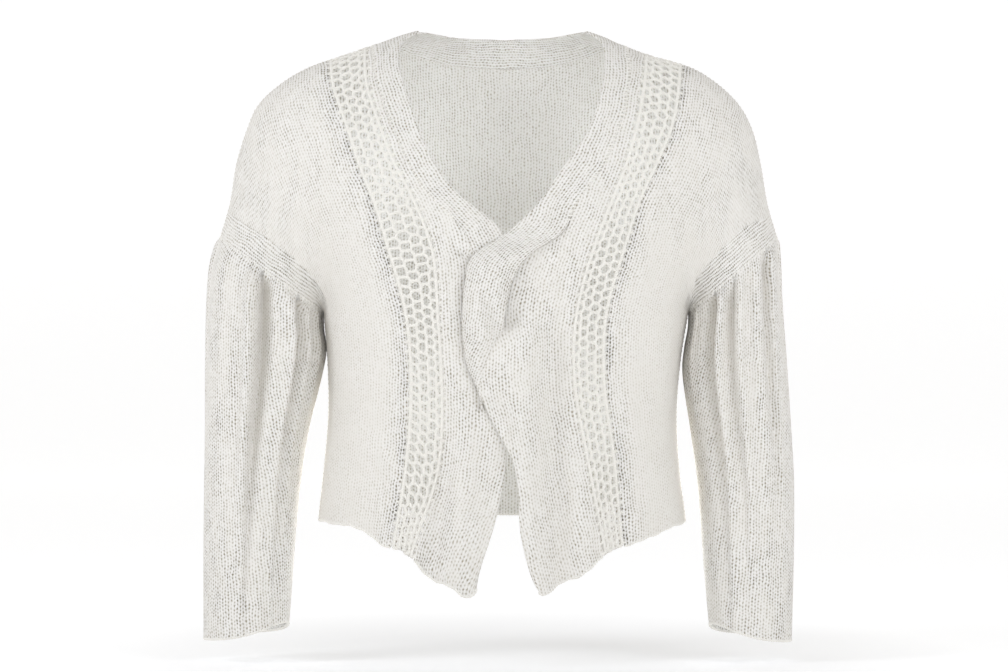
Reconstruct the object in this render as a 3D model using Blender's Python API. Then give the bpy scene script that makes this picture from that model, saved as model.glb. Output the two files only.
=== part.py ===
"""Open-knit cardigan on a general figure, hollow, with nobody in it.

Sizes are in millimetres until a mesh is made. X runs to the left hand of somebody wearing it, Y to the back
and Z up, from the level of the shoulders beside the neck. Right and left are the wearer's.

The body is one worn surface, body(), read by two shares: "across" goes from the side (0) to the middle (1)
and "rise" from the hem (0) over the underarm (UNDERARM_RISE) to the shoulder line (1). Every knitted piece
is a wall of even thickness cut from it, and each sleeve is a row of rings that starts on the armhole.
"""

from collections import Counter

import bpy
import bmesh
import numpy as np

METRE = 0.001
RIGHT, LEFT = -1, 1
FRONT, BACK = -1, 1

WALL = 2.4
SEAM_GAP = 0.3


def table(names, *rows):
    """Columns by name, from rows of numbers; the first column rises."""
    return dict(zip(names.split(), np.array(rows, dtype=float).T))


BODY = table(
    "height right left front back",
    (-565, 190, 188, 106, 108),
    (-480, 187, 185, 106, 107),
    (-433, 182, 179, 107, 105),
    (-370, 177, 176, 110, 103),
    (-320, 178, 180, 114, 104),
    (-270, 182, 188, 118, 107),
)
RING_POWER = 2.3
UNDERARM_HEIGHT = -270
UNDERARM_RISE = 0.45

# The shoulder line from the dropped corner on the upper arm to the middle of the neck.
SHOULDER = table(
    "across right left height",
    (0.00, 287, 278, -195),
    (0.10, 277, 268, -160),
    (0.20, 270, 261, -118),
    (0.28, 260, 253, -86),
    (0.36, 248, 239, -60),
    (0.44, 224, 216, -38),
    (0.52, 196, 189, -22),
    (0.60, 161, 148, -10),
    (0.68, 126, 117, 2),
    (0.75, 104, 99, 10),
    (0.86, 60, 58, 28),
    (1.00, 0, 0, 45),
)
ARMHOLE_DEPTH = 57
ARM_REACH = 0.35
ARM_CORNER = 0.15
ARM_RIM = 0.01

HEM_BACK = -480
HEM_HALF_WIDTH = 187
HEM_DEPTH = 106
HEM_FRONT = table(
    "out right left",
    (0, -559, -559),
    (38, -552, -552),
    (54, -541, -541),
    (78, -530, -530),
    (84, -521, -526),
    (100, -508, -512),
    (122, -500, -503),
    (138, -488, -498),
    (166, -482, -487),
    (190, -480, -480),
)

# Where lines on a front are seen from the front: distance out from the middle at each height.
LACE_EDGES = table(
    "height right_outer right_inner left_outer left_inner",
    (-510, 110, 90, 121, 101),
    (-428, 98, 64, 113, 85),
    (-326, 93, 60, 101, 69),
    (-278, 97, 63, 103, 71),
    (-204, 117, 70, 123, 90),
    (-158, 131, 88, 138, 108),
    (-128, 143, 104, 152, 120),
    (-86, 157, 121, 170, 132),
    (-38, 173, 136, 179, 141),
    (-13, 176, 138, 182, 144),
)
RIGHT_EDGE = table(
    "height band_inner band_outer front",
    (-560, -40, 26, 26),
    (-545, -40, 24, 24),
    (-500, -40, 13, 13),
    (-466, -40, 5, 5),
    (-420, -36, -3, -3),
    (-370, -34, -3, -3),
    (-300, -10, 3, 3),
    (-262, -8, 8, 8),
    (-236, -2, 11, 14),
    (-210, -3, 30, 30),
    (-193, 2, 38, 38),
    (-146, 53, 80, 80),
    (-112, 76, 99, 99),
    (-68, 92, 117, 117),
    (-30, 103, 129, 129),
    (5, 104, 133, 133),
)
LEFT_EDGE = table(
    "height band_inner band_outer front",
    (-560, -20, -10, 38),
    (-548, -20, -10, 31),
    (-523, -20, -10, 23),
    (-480, -20, -10, 16),
    (-450, -20, -10, 15),
    (-418, -20, -10, 9),
    (-388, -22, -12, -6),
    (-352, -24, -20, -23),
    (-322, -36, -8, -27),
    (-300, -39, -1, -26),
    (-270, -40, 3, -20),
    (-240, -37, 10, -1),
    (-214, -28, 28, 26),
    (-196, 0, 55, 56),
    (-165, 34, 72, 72),
    (-127, 61, 99, 99),
    (-98, 82, 112, 112),
    (-60, 97, 123, 123),
    (-20, 103, 127, 127),
    (5, 99, 125, 125),
)

SLEEVES = {
    RIGHT: table(
        "along outer_out outer_height inner_out inner_height half_depth",
        (0.08, 295, -222, 183, -288, 61),
        (0.18, 299, -262, 184, -308, 62),
        (0.30, 301, -322, 187, -335, 59),
        (0.45, 302, -390, 197, -390, 54),
        (0.60, 303, -440, 205, -440, 50),
        (0.80, 304, -520, 212, -520, 46),
        (1.00, 304, -602, 217, -602, 43),
    ),
    LEFT: table(
        "along outer_out outer_height inner_out inner_height half_depth",
        (0.08, 283, -222, 189, -286, 60),
        (0.18, 286, -262, 187, -306, 61),
        (0.30, 290, -322, 186, -332, 57),
        (0.45, 293, -390, 192, -390, 53),
        (0.60, 295, -440, 197, -440, 49),
        (0.80, 295, -520, 203, -520, 45),
        (1.00, 293, -604, 209, -602, 42),
    ),
}

# Folds of the twist: the roll down the left front, and the strand of the band that crosses it.
ROLL = table(
    "height middle inner_width lift",
    (-560, 36, 20, 5),
    (-500, 26, 17, 8),
    (-420, 20, 17, 12),
    (-370, 18, 17, 12),
    (-340, 20, 11, 12),
    (-300, 22, 8, 11),
    (-262, 24, 7, 8),
)
ROLL_OUTER_WIDTH = 17
ROLL_TOP = -262
ROLL_FADE = 40
VALLEY_OUT = 33
VALLEY_WIDTH = 12
VALLEY_DEPTH = 4
# Soft folds of the hanging fronts, each along a straight line that it widens down.
FOLDS = {
    RIGHT: table(
        "top_height bottom_height top_out bottom_out width lift",
        (-405, -560, 92, 118, 12, 3),
        (-375, -555, 32, 44, 15, 6),
        (-360, -540, 42, 74, 10, -4),
    ),
    LEFT: table(
        "top_height bottom_height top_out bottom_out width lift",
        (-420, -540, 74, 84, 12, 4),
        (-400, -520, 100, 128, 12, -3),
    ),
}
STRAND = table(
    "height edge crown",
    (-352, 4.5, 5.5),
    (-320, 4.5, 11),
    (-285, 4, 15),
    (-250, 4, 16),
    (-225, 4, 12),
    (-200, 3, 6),
    (-165, 0, 1),
    (-120, 0, 0),
    (50, 0, 0),
)
TUCK_TOP = -215
TUCK_WIDTH = 45
TUCK_SLOPE = 20
TUCK_DEPTH = 3.2
EDGES = {RIGHT: RIGHT_EDGE, LEFT: LEFT_EDGE}
BACK_NECK = table("out low high", (0, -20, 8), (50, -17, 10), (85, -9, 14), (104, -3, 11), (135, 3, 8))

# The openwork strip: each repeat is a bar and a row of holes.
LACE_REPEATS = 54
LACE_COLUMNS = (0.12, 0.30, 0.58, 0.76)
COARSE_STEP = 4
OUTER_COLUMNS = (0, 0.1, 0.22, 0.34, 0.48, 0.62, 0.78, 0.92)
INNER_COLUMNS = (0.06, 0.2, 0.36, 0.52, 0.68, 0.84, 1)
BACK_COLUMNS = 10
NECK_COLUMNS = 7
LOW_ROWS = 10
HIGH_ROWS = 15
BAND_COLUMNS = 5
BAND_END_RISE = 0.485
STRAND_END_RISE = 0.30
TWIST_TOP_RISE = 0.5
SLEEVE_COLUMNS = 48
SLEEVE_ROWS = (0, 0.02, 0.05, 0.1, 0.16, 0.23, 0.31, 0.4, 0.5, 0.61, 0.73, 0.86, 1)
GATHERS = 12
GATHER_DEPTH = 3
GATHER_LENGTH = 0.35
GATHER_START = 1.2
HEAD_STAND = 3
HEAD_ROUND = 0.02
CUFF_START = 0.8
CUFF_LIFT = 14
CUFF_LIFT_TURN = 1.0

# A front may reach past the middle, as far as this share.
FURTHEST_ACROSS = 1.6
NORMAL_STEP = 0.005

# Shares left free at a seam, each worth half of SEAM_GAP or a little more.
SIDE_GAP = 0.0006
SHOULDER_GAP = 0.0008
EDGE_GAP = 0.0012

KNIT_COLOUR = (0.79, 0.76, 0.68)
BAND_COLOUR = (0.80, 0.77, 0.70)
YARN_ROUGHNESS = 0.95


def curve(rows, over, column, at):
    """A smooth curve through one column of a table, read at any values of another."""
    knots, values = rows[over], rows[column]
    slopes = np.gradient(values, knots)
    at = np.clip(at, knots[0], knots[-1])
    first = np.clip(np.searchsorted(knots, at, side="right") - 1, 0, len(knots) - 2)
    span = knots[first + 1] - knots[first]
    share = (at - knots[first]) / span
    rest = 1 - share
    return (
        values[first] * rest**2 * (1 + 2 * share)
        + slopes[first] * span * rest**2 * share
        + values[first + 1] * share**2 * (3 - 2 * share)
        - slopes[first + 1] * span * share**2 * rest
    )


def side_name(side):
    return "right" if side == RIGHT else "left"


def ring(across, width, depth):
    """Distances out and forward of a rounded ring of the body, from its side to its middle."""
    turn = across * np.pi / 2
    reach = (np.abs(np.cos(turn)) / width) ** RING_POWER + (np.abs(np.sin(turn)) / depth) ** RING_POWER
    reach = reach ** (-1 / RING_POWER)
    return reach * np.cos(turn), reach * np.sin(turn)


def body(side, face, across, rise):
    """Points of the worn body's outer face.

    Below the underarm they lie on level rings. Above it each column runs from the underarm ring to the
    shoulder line, its depth falling like a quarter circle, and the columns next to the armhole follow the
    round of the upper arm instead.
    """
    across, rise = np.broadcast_arrays(np.asarray(across, dtype=float), np.asarray(rise, dtype=float))
    name, depth_name = side_name(side), "front" if face == FRONT else "back"
    hem_out, _ = ring(across, HEM_HALF_WIDTH, HEM_DEPTH)
    hem = curve(HEM_FRONT, "out", name, hem_out) if face == FRONT else np.full(across.shape, HEM_BACK)
    low_share = np.clip(rise / UNDERARM_RISE, 0, 1)
    height = hem + (UNDERARM_HEIGHT - hem) * low_share
    out, forward = ring(across, curve(BODY, "height", name, height), curve(BODY, "height", depth_name, height))

    climb = np.clip((rise - UNDERARM_RISE) / (1 - UNDERARM_RISE), 0, 1) * np.pi / 2
    corner = np.exp(-((across / ARM_CORNER) ** 2))
    lifted = (1 - corner) * np.sin(climb) + corner * (1 - np.cos(2 * climb)) / 2
    spread = lifted ** (2 - corner)
    arm = ARMHOLE_DEPTH * np.exp(-((across / ARM_REACH) ** 2)) * np.sin(2 * climb)
    out = out + (curve(SHOULDER, "across", name, across) - out) * spread
    height = height + (curve(SHOULDER, "across", "height", across) - height) * lifted
    forward = ((forward * np.cos(climb)) ** 3 + np.abs(arm) ** 3) ** (1 / 3)
    return np.stack([side * out, face * forward, height], axis=-1)


def body_normal(side, face, across, rise):
    """Outward directions of the body's face, from the way its points run."""
    step = NORMAL_STEP
    along_across = body(side, face, across + step, rise)
    along_across -= body(side, face, np.maximum(across - step, 0), rise)
    along_rise = body(side, face, across, np.minimum(rise + step, 1))
    along_rise -= body(side, face, across, np.maximum(rise - step, 0))
    normal = np.cross(along_across, along_rise) * side * face
    normal /= np.linalg.norm(normal, axis=-1, keepdims=True)
    at_armhole = (across < ARM_RIM) & (rise > UNDERARM_RISE)
    return keep_clear(normal, arm_axis(side), at_armhole)


def keep_clear(normal, axis, where):
    """Directions turned so that a wall inside them doesn't reach past a plane square to the axis."""
    beyond = np.minimum(normal @ axis, 0) * where
    normal = normal - beyond[..., None] * axis
    return normal / np.linalg.norm(normal, axis=-1, keepdims=True)


def armhole_ends(side):
    """The armhole's corner on the upper arm and its lowest point under the arm, as out and height."""
    name = side_name(side)
    corner = np.array([SHOULDER[name][0], SHOULDER["height"][0]])
    return corner, np.array([curve(BODY, "height", name, UNDERARM_HEIGHT), UNDERARM_HEIGHT])


def arm_axis(side):
    """The direction square to the armhole's plane, down the arm."""
    corner, underarm = armhole_ends(side)
    seam = (corner - underarm) / np.linalg.norm(corner - underarm)
    return np.array([side * seam[1], 0, -seam[0]])


def halve(low, high, too_low):
    """The place between two arrays where a test stops being true."""
    for _ in range(30):
        middle = (low + high) / 2
        below = too_low(middle)
        low, high = np.where(below, middle, low), np.where(below, high, middle)
    return (low + high) / 2


def across_at(side, rise, edges, column):
    """For each rise, the across share where a front crosses a line of an edge table."""

    def outside(across):
        point = body(side, FRONT, across, rise)
        return side * point[..., 0] > curve(edges, "height", column, point[..., 2])

    return halve(np.zeros_like(rise), np.full_like(rise, FURTHEST_ACROSS), outside)


def height_at(side, across, column_height):
    """For each across share, the rise where the back comes up to a line."""

    def below(rise):
        point = body(side, BACK, across, rise)
        return point[..., 2] < column_height(side * point[..., 0])

    return halve(np.full_like(across, UNDERARM_RISE), np.ones_like(across), below)


def knit(name, points, normals, faces, colour):
    """One solid wall: the faces, a copy of them one wall thickness inside, and the rim of each edge."""
    count = len(points)
    vertices = np.concatenate([points, points - normals * WALL]) * METRE
    edges = Counter(frozenset(edge) for face in faces for edge in zip(face, face[1:] + face[:1]))
    polygons = list(faces)
    for face in faces:
        polygons.append(tuple(corner + count for corner in reversed(face)))
        for start, end in zip(face, face[1:] + face[:1]):
            if edges[frozenset((start, end))] == 1:
                polygons.append((end, start, start + count, end + count))
    mesh = bpy.data.meshes.new(name)
    mesh.from_pydata(vertices.tolist(), [], polygons)
    shell = bmesh.new()
    shell.from_mesh(mesh)
    bmesh.ops.recalc_face_normals(shell, faces=shell.faces)
    shell.to_mesh(mesh)
    shell.free()
    mesh.materials.append(yarn_material(name, colour))
    piece = bpy.data.objects.new(name, mesh)
    bpy.context.scene.collection.objects.link(piece)
    return piece


def yarn_material(name, colour):
    material = bpy.data.materials.new(name + "_yarn")
    material.use_nodes = True
    shader = material.node_tree.nodes["Principled BSDF"]
    shader.inputs["Base Color"].default_value = (*colour, 1)
    shader.inputs["Roughness"].default_value = YARN_ROUGHNESS
    shader.inputs["Metallic"].default_value = 0
    return material


def grid_faces(rows, columns, around=False):
    """Four-cornered faces of a grid of points, row by row; around joins the last column to the first."""
    last = columns if around else columns - 1
    return [
        (
            row * columns + column,
            row * columns + (column + 1) % columns,
            (row + 1) * columns + (column + 1) % columns,
            (row + 1) * columns + column,
        )
        for row in range(rows - 1)
        for column in range(last)
    ]


def even_rises(side, count):
    """Rises that lie at even distances along a front's openwork strip, from the hem to the shoulder."""
    rise = np.linspace(0, 1 - SHOULDER_GAP, 600)
    middle = (
        across_at(side, rise, LACE_EDGES, side_name(side) + "_outer")
        + across_at(side, rise, LACE_EDGES, side_name(side) + "_inner")
    ) / 2
    path = body(side, FRONT, middle, rise)
    length = np.concatenate([[0], np.cumsum(np.linalg.norm(np.diff(path, axis=0), axis=1))])
    underarm = np.interp(UNDERARM_RISE, rise, length)
    below = COARSE_STEP * round(count / COARSE_STEP * underarm / length[-1])
    low = np.linspace(0, underarm, below + 1)
    high = np.linspace(underarm, length[-1], count - below)
    return np.interp(np.concatenate([low, high[1:]]), length, rise)


def front(side):
    """One front from side seam to band, with its openwork strip cut through."""
    name = side_name(side)
    rise = even_rises(side, LACE_REPEATS * 2 + 1)
    outer = across_at(side, rise, LACE_EDGES, name + "_outer")
    inner = across_at(side, rise, LACE_EDGES, name + "_inner")
    edge = across_at(side, rise, EDGES[side], "front") - EDGE_GAP
    lines = [(SIDE_GAP + (outer - SIDE_GAP) * share, False) for share in OUTER_COLUMNS]
    lines += [(outer + (inner - outer) * share, True) for share in LACE_COLUMNS]
    lines += [(inner + (edge - inner) * share, False) for share in INNER_COLUMNS]

    places, across_list, rise_list = {}, [], []
    for line, (across, fine) in enumerate(lines):
        for row in range(0, len(rise), 1 if fine else COARSE_STEP):
            places[line, row] = len(across_list)
            across_list.append(across[row])
            rise_list.append(rise[row])

    faces = []
    for line in range(len(lines) - 1):
        fine = lines[line][1], lines[line + 1][1]
        is_hole = all(fine) and (line - len(OUTER_COLUMNS)) % 2 == 0
        step = 1 if all(fine) else COARSE_STEP
        for row in range(0, len(rise) - 1, step):
            if is_hole and row % 2 == 1:
                continue
            near = [places[line, at] for at in range(row, row + step + 1) if (line, at) in places]
            far = [places[line + 1, at] for at in range(row, row + step + 1) if (line + 1, at) in places]
            faces.append(tuple(near + far[::-1]))

    across, rise = np.array(across_list), np.array(rise_list)
    normals = body_normal(side, FRONT, across, rise)
    points = body(side, FRONT, across, rise)
    points = points + normals * front_lift(side, points)[..., None]
    return knit(f"front_{name}", points, normals, faces, KNIT_COLOUR)


def fold_lift(side, out, height):
    """How far the soft folds of a hanging front stand out, each one growing from its top."""
    rows = FOLDS[side]
    lift = np.zeros_like(out)
    for fold in range(len(rows["lift"])):
        top, bottom = rows["top_height"][fold], rows["bottom_height"][fold]
        share = np.clip((top - height) / (top - bottom), 0, 1)
        middle = rows["top_out"][fold] + (rows["bottom_out"][fold] - rows["top_out"][fold]) * share
        width = rows["width"][fold] * (0.6 + 0.8 * share)
        lift += rows["lift"][fold] * np.sin(share * np.pi / 2) * np.exp(-(((out - middle) / width) ** 2))
    return lift


def front_lift(side, points):
    """How far a front stands out from the body: its folds, the roll beside the twist, and room under it."""
    out, height = points[..., 0] * side, points[..., 2]
    folds = fold_lift(side, out, height)
    if side == RIGHT:
        from_edge = out - curve(RIGHT_EDGE, "height", "front", height)
        tuck = np.clip((TUCK_WIDTH - from_edge) / TUCK_SLOPE, 0, 1) * (height < TUCK_TOP)
        return folds - TUCK_DEPTH * tuck
    along = np.clip((ROLL_TOP - height) / ROLL_FADE, 0, 1)
    middle = curve(ROLL, "height", "middle", height)
    width = np.where(out > middle, ROLL_OUTER_WIDTH, curve(ROLL, "height", "inner_width", height))
    roll = curve(ROLL, "height", "lift", height) * np.exp(-(((out - middle) / width) ** 2))
    valley = VALLEY_DEPTH * np.exp(-(((out - middle - VALLEY_OUT) / VALLEY_WIDTH) ** 2))
    return along * (roll - valley) + folds


def back():
    """The back in one panel, from side to side, hollowed for the back of the neck."""
    columns = []
    for side in (RIGHT, LEFT):
        corner = across_at(side, np.array([1 - SHOULDER_GAP]), EDGES[side], "band_outer")[0] - EDGE_GAP
        across = np.concatenate(
            [np.linspace(SIDE_GAP, corner, BACK_COLUMNS), np.linspace(corner, 1, NECK_COLUMNS)[1:]]
        )
        top = height_at(side, across, back_band_low) - EDGE_GAP
        top[:BACK_COLUMNS] = 1 - SHOULDER_GAP
        low = np.linspace(0, UNDERARM_RISE, LOW_ROWS)[:, None] + 0 * top
        high = UNDERARM_RISE + (top - UNDERARM_RISE) * np.linspace(0, 1, HIGH_ROWS)[1:, None]
        rise = np.concatenate([low, high])
        normals = body_normal(side, BACK, across + 0 * rise, rise)
        columns.append((body(side, BACK, across + 0 * rise, rise), normals))
    points = np.concatenate([columns[0][0], columns[1][0][:, -2::-1]], axis=1)
    normals = np.concatenate([columns[0][1], columns[1][1][:, -2::-1]], axis=1)
    rows, width = points.shape[:2]
    return knit("back", points.reshape(-1, 3), normals.reshape(-1, 3), grid_faces(rows, width), KNIT_COLOUR)


def back_band_low(out):
    return curve(BACK_NECK, "out", "low", np.abs(out))


def back_band_high(out):
    return curve(BACK_NECK, "out", "high", np.abs(out))


def band_front(side, rise):
    """Points and normals of the neckband down one front, a row for each rise."""
    inner = across_at(side, rise, EDGES[side], "band_inner")
    outer = across_at(side, rise, EDGES[side], "band_outer") + EDGE_GAP
    share = np.linspace(0, 1, BAND_COLUMNS)
    across = outer[:, None] + (inner - outer)[:, None] * share
    rise = np.repeat(rise[:, None], BAND_COLUMNS, axis=1)
    normals = body_normal(side, FRONT, across, rise)
    points = body(side, FRONT, across, rise)
    lift = band_lift(side, points[..., 2], share)
    return points + normals * lift[..., None], normals


def band_lift(side, height, share):
    """How far the band stands out: its left end crosses over, as a strand that is round across."""
    if side == RIGHT:
        return np.zeros_like(height)
    edge = curve(STRAND, "height", "edge", height)
    crown = curve(STRAND, "height", "crown", height)
    return edge + (crown - edge) * np.sin(np.pi * share) ** 0.7


def band_back(side):
    """Points and normals of the neckband across half of the back, from the shoulder to the middle."""
    top = np.array([1 - SHOULDER_GAP])
    low_start = across_at(side, top, EDGES[side], "band_outer")[0] + EDGE_GAP
    high_start = across_at(side, top, EDGES[side], "band_inner")[0]
    low = np.linspace(low_start, 1, NECK_COLUMNS)
    high = np.linspace(high_start, 1, NECK_COLUMNS)
    low_rise = height_at(side, low, back_band_low) + EDGE_GAP
    high_rise = height_at(side, high, back_band_high)
    low_rise[0] = high_rise[0] = 1 - SHOULDER_GAP
    share = np.linspace(0, 1, BAND_COLUMNS)
    across = low[:, None] + (high - low)[:, None] * share
    rise = low_rise[:, None] + (high_rise - low_rise)[:, None] * share
    return body(side, BACK, across, rise), body_normal(side, BACK, across, rise)


def band_rises(side, end):
    """The rises of a front's own rows, down to the end of the band, and the rows between in the twist."""
    rise = even_rises(side, LACE_REPEATS * 2 + 1)
    rows = np.arange(len(rise))
    kept = (rows % COARSE_STEP == 0) | ((rows % COARSE_STEP == 2) & (rise < TWIST_TOP_RISE))
    return rise[kept & (rise >= end)]


def neckband():
    """One long strip: the strand that crosses over, the left front, round the back, the right front."""
    left = band_front(LEFT, band_rises(LEFT, STRAND_END_RISE))
    right = band_front(RIGHT, band_rises(RIGHT, BAND_END_RISE))
    back_left, back_right = band_back(LEFT), band_back(RIGHT)
    stretches = [
        [part[:-1] for part in left],
        list(back_left),
        [part[-2::-1] for part in back_right],
        [part[-2::-1] for part in right],
    ]
    points = np.concatenate([stretch[0] for stretch in stretches])
    normals = np.concatenate([stretch[1] for stretch in stretches])
    rows = len(points)
    faces = grid_faces(rows, BAND_COLUMNS)
    return knit("neckband", points.reshape(-1, 3), normals.reshape(-1, 3), faces, BAND_COLOUR)


def sleeve_point(side, along, turn):
    """Points of a sleeve's outer face; turn goes round from the underarm over the front, in radians."""
    (corner_out, corner_height), (under_out, under_height) = armhole_ends(side)
    armhole = (0, corner_out, corner_height, under_out, under_height, ARMHOLE_DEPTH)
    rows = {
        name: np.concatenate([[start], SLEEVES[side][name]])
        for name, start in zip(SLEEVES[side], armhole)
    }
    along, turn = np.broadcast_arrays(np.asarray(along, dtype=float), turn)
    read = {name: curve(rows, "along", name, along) for name in rows if name != "along"}
    fade = np.exp(-((along / GATHER_LENGTH) ** 1.5)) * np.clip(along / HEAD_ROUND, 0, 1)
    over = np.clip((1 - np.cos(turn)) / GATHER_START, 0, 1)
    gather = fade * over * (np.abs(np.cos(turn * GATHERS / 2)) * 2 - 1) * GATHER_DEPTH
    swell = 1 + (gather + fade * over * HEAD_STAND) / read["half_depth"]
    middle_out = (read["outer_out"] + read["inner_out"]) / 2
    middle_height = (read["outer_height"] + read["inner_height"]) / 2
    half_out = (read["inner_out"] - read["outer_out"]) / 2
    half_height = (read["inner_height"] - read["outer_height"]) / 2
    out = middle_out + half_out * np.cos(turn) * swell
    height = middle_height + half_height * np.cos(turn) * swell
    near_cuff = np.clip((along - CUFF_START) / (1 - CUFF_START), 0, 1)
    height += CUFF_LIFT * near_cuff * (1 + np.cos(turn - CUFF_LIFT_TURN)) / 2
    forward = read["half_depth"] * np.sin(turn) * swell
    return np.stack([side * out, -forward, height], axis=-1) + arm_axis(side) * SEAM_GAP


def sleeve(side):
    """One sleeve as rings from the armhole to the cuff, gathered at its head."""
    along = np.array(SLEEVE_ROWS)[:, None]
    turn = np.linspace(0, 2 * np.pi, SLEEVE_COLUMNS, endpoint=False)[None, :]
    step = NORMAL_STEP
    points = sleeve_point(side, along, turn)
    down = sleeve_point(side, np.minimum(along + step, 1), turn) - sleeve_point(
        side, np.maximum(along - step, 0), turn
    )
    round_it = sleeve_point(side, along, turn + step * 2 * np.pi) - sleeve_point(
        side, along, turn - step * 2 * np.pi
    )
    normals = np.cross(down, round_it) * side
    normals /= np.linalg.norm(normals, axis=-1, keepdims=True)
    normals = keep_clear(normals, -arm_axis(side), along == 0)
    faces = grid_faces(len(SLEEVE_ROWS), SLEEVE_COLUMNS, around=True)
    name = f"sleeve_{side_name(side)}"
    return knit(name, points.reshape(-1, 3), normals.reshape(-1, 3), faces, KNIT_COLOUR)


def clear_scene():
    for thing in list(bpy.data.objects):
        bpy.data.objects.remove(thing)


def main():
    clear_scene()
    back()
    for side in (RIGHT, LEFT):
        front(side)
        sleeve(side)
    neckband()


main()
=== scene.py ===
# %% [markdown]
# # An open-knit cardigan, worn by nobody
#
# A cream cardigan with an openwork strip down each front and a twist where the two fronts cross. It hangs
# hollow, as in a shop's picture. Each piece that a knitter would make is a thin closed wall over a worn
# shape, and the open strips are real nets of plied yarn.

import bpy
import numpy as np
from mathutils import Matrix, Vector


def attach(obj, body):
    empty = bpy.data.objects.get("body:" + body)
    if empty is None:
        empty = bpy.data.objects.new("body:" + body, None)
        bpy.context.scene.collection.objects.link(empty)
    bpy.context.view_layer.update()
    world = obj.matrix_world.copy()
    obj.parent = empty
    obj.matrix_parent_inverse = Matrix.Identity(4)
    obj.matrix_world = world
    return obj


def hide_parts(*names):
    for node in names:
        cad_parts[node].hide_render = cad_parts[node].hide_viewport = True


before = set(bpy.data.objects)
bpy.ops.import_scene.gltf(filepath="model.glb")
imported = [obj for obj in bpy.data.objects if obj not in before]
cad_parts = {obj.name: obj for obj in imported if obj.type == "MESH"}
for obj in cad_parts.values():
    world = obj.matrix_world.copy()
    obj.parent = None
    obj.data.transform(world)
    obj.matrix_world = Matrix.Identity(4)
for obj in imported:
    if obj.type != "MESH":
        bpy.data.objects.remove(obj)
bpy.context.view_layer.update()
print("nodes", sorted(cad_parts))

# %% [markdown]
# ## Sizes
#
# A knitter works in stitches. One wale, a column of stitches, is about 6.3 mm wide here, two legs of a V
# beside each other, and one course, a row of stitches, about 3.6 mm high. Everything else is measured in
# millimetres: X to the wearer's left, Y to the back and Z up from the shoulders beside the neck.

# %% Sizes
METRE = 0.001
RIGHT, LEFT = -1, 1
FRONT, BACK = -1, 1

WALL = 2.2
LEG = 3.15
COURSE = 3.6


def table(names, *rows):
    """Columns by name, from rows of numbers; the first column rises."""
    return dict(zip(names.split(), np.array(rows, dtype=float).T))


# How far the body reaches to each side, to the front and to the back, at each height.
BODY = table(
    "height right left front back",
    (-565, 190, 188, 106, 108),
    (-480, 187, 185, 106, 107),
    (-433, 182, 179, 107, 105),
    (-370, 177, 176, 110, 103),
    (-320, 178, 180, 114, 104),
    (-270, 182, 188, 118, 107),
)
RING_POWER = 2.3
UNDERARM_HEIGHT = -270
UNDERARM_RISE = 0.45

# The line over the shoulders, from the armhole's corner (0) to the middle of the back (1).
SHOULDER = table(
    "across right left height",
    (0.00, 287, 278, -195),
    (0.10, 277, 268, -160),
    (0.20, 270, 261, -118),
    (0.28, 260, 253, -86),
    (0.36, 248, 239, -60),
    (0.44, 224, 216, -38),
    (0.52, 196, 189, -22),
    (0.60, 161, 148, -10),
    (0.68, 126, 117, 2),
    (0.75, 104, 99, 10),
    (0.86, 60, 58, 21),
    (1.00, 0, 0, 32),
)
ARMHOLE_DEPTH = 57
ARM_REACH = 0.35
ARM_CORNER = 0.15

# The hem is straight behind, and in front it falls from the side seams to two points.
HEM_BACK = -480
HEM_HALF_WIDTH = 187
HEM_DEPTH = 106
HEM_FRONT = table(
    "out right left",
    (0, -559, -559),
    (38, -552, -552),
    (54, -541, -541),
    (78, -530, -530),
    (84, -521, -526),
    (100, -508, -512),
    (122, -500, -503),
    (138, -488, -498),
    (166, -482, -487),
    (190, -480, -480),
)

# Lines on the fronts, as seen from the front: distance out from the middle at each height.
RIGHT_EDGE = table(
    "height band_inner band_outer front",
    (-560, -40, 26, 26),
    (-545, -40, 24, 24),
    (-500, -40, 13, 13),
    (-466, -40, 5, 5),
    (-420, -36, -3, -3),
    (-370, -34, -3, -3),
    (-300, -10, 3, 3),
    (-262, -8, 8, 8),
    (-236, -2, 11, 14),
    (-210, -3, 30, 30),
    (-193, 2, 38, 38),
    (-146, 53, 80, 80),
    (-112, 76, 99, 99),
    (-68, 92, 117, 117),
    (-30, 104, 129, 129),
    (-10, 106, 131, 131),
    (1, 102.5, 133, 133),
    (7, 97, 133, 133),
    (13, 87, 133, 133),
)
LEFT_EDGE = table(
    "height band_inner band_outer front",
    (-560, -20, -10, 38),
    (-548, -20, -10, 31),
    (-523, -20, -10, 23),
    (-480, -20, -10, 16),
    (-450, -20, -10, 15),
    (-418, -20, -10, 9),
    (-388, -22, -12, -6),
    (-352, -24, -20, -23),
    (-322, -36, -8, -27),
    (-300, -39, -1, -26),
    (-270, -40, 3, -20),
    (-240, -37, 10, -1),
    (-214, -28, 28, 26),
    (-196, 0, 55, 56),
    (-165, 34, 72, 72),
    (-127, 61, 99, 99),
    (-98, 82, 112, 112),
    (-60, 97, 123, 123),
    (-20, 104, 127, 127),
    (-8, 103, 126, 126),
    (2, 100, 125, 125),
    (8, 94, 125, 125),
    (13, 85, 125, 125),
)
EDGES = {RIGHT: RIGHT_EDGE, LEFT: LEFT_EDGE}
BACK_NECK = table("out low high", (0, -20, 8), (50, -17, 10), (85, -9, 14), (104, -3, 11), (135, 3, 8))

# The twist: the roll down the left front, beside the strand of the band that crosses over it.
ROLL = table(
    "height middle inner_width lift",
    (-560, 36, 20, 5),
    (-500, 26, 17, 8),
    (-420, 20, 17, 12),
    (-370, 18, 17, 12),
    (-345, 18, 40, 12),
    (-322, 19, 55, 12),
    (-303, 20, 42, 12),
    (-285, 22, 10, 11),
    (-262, 24, 7, 8),
)
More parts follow.
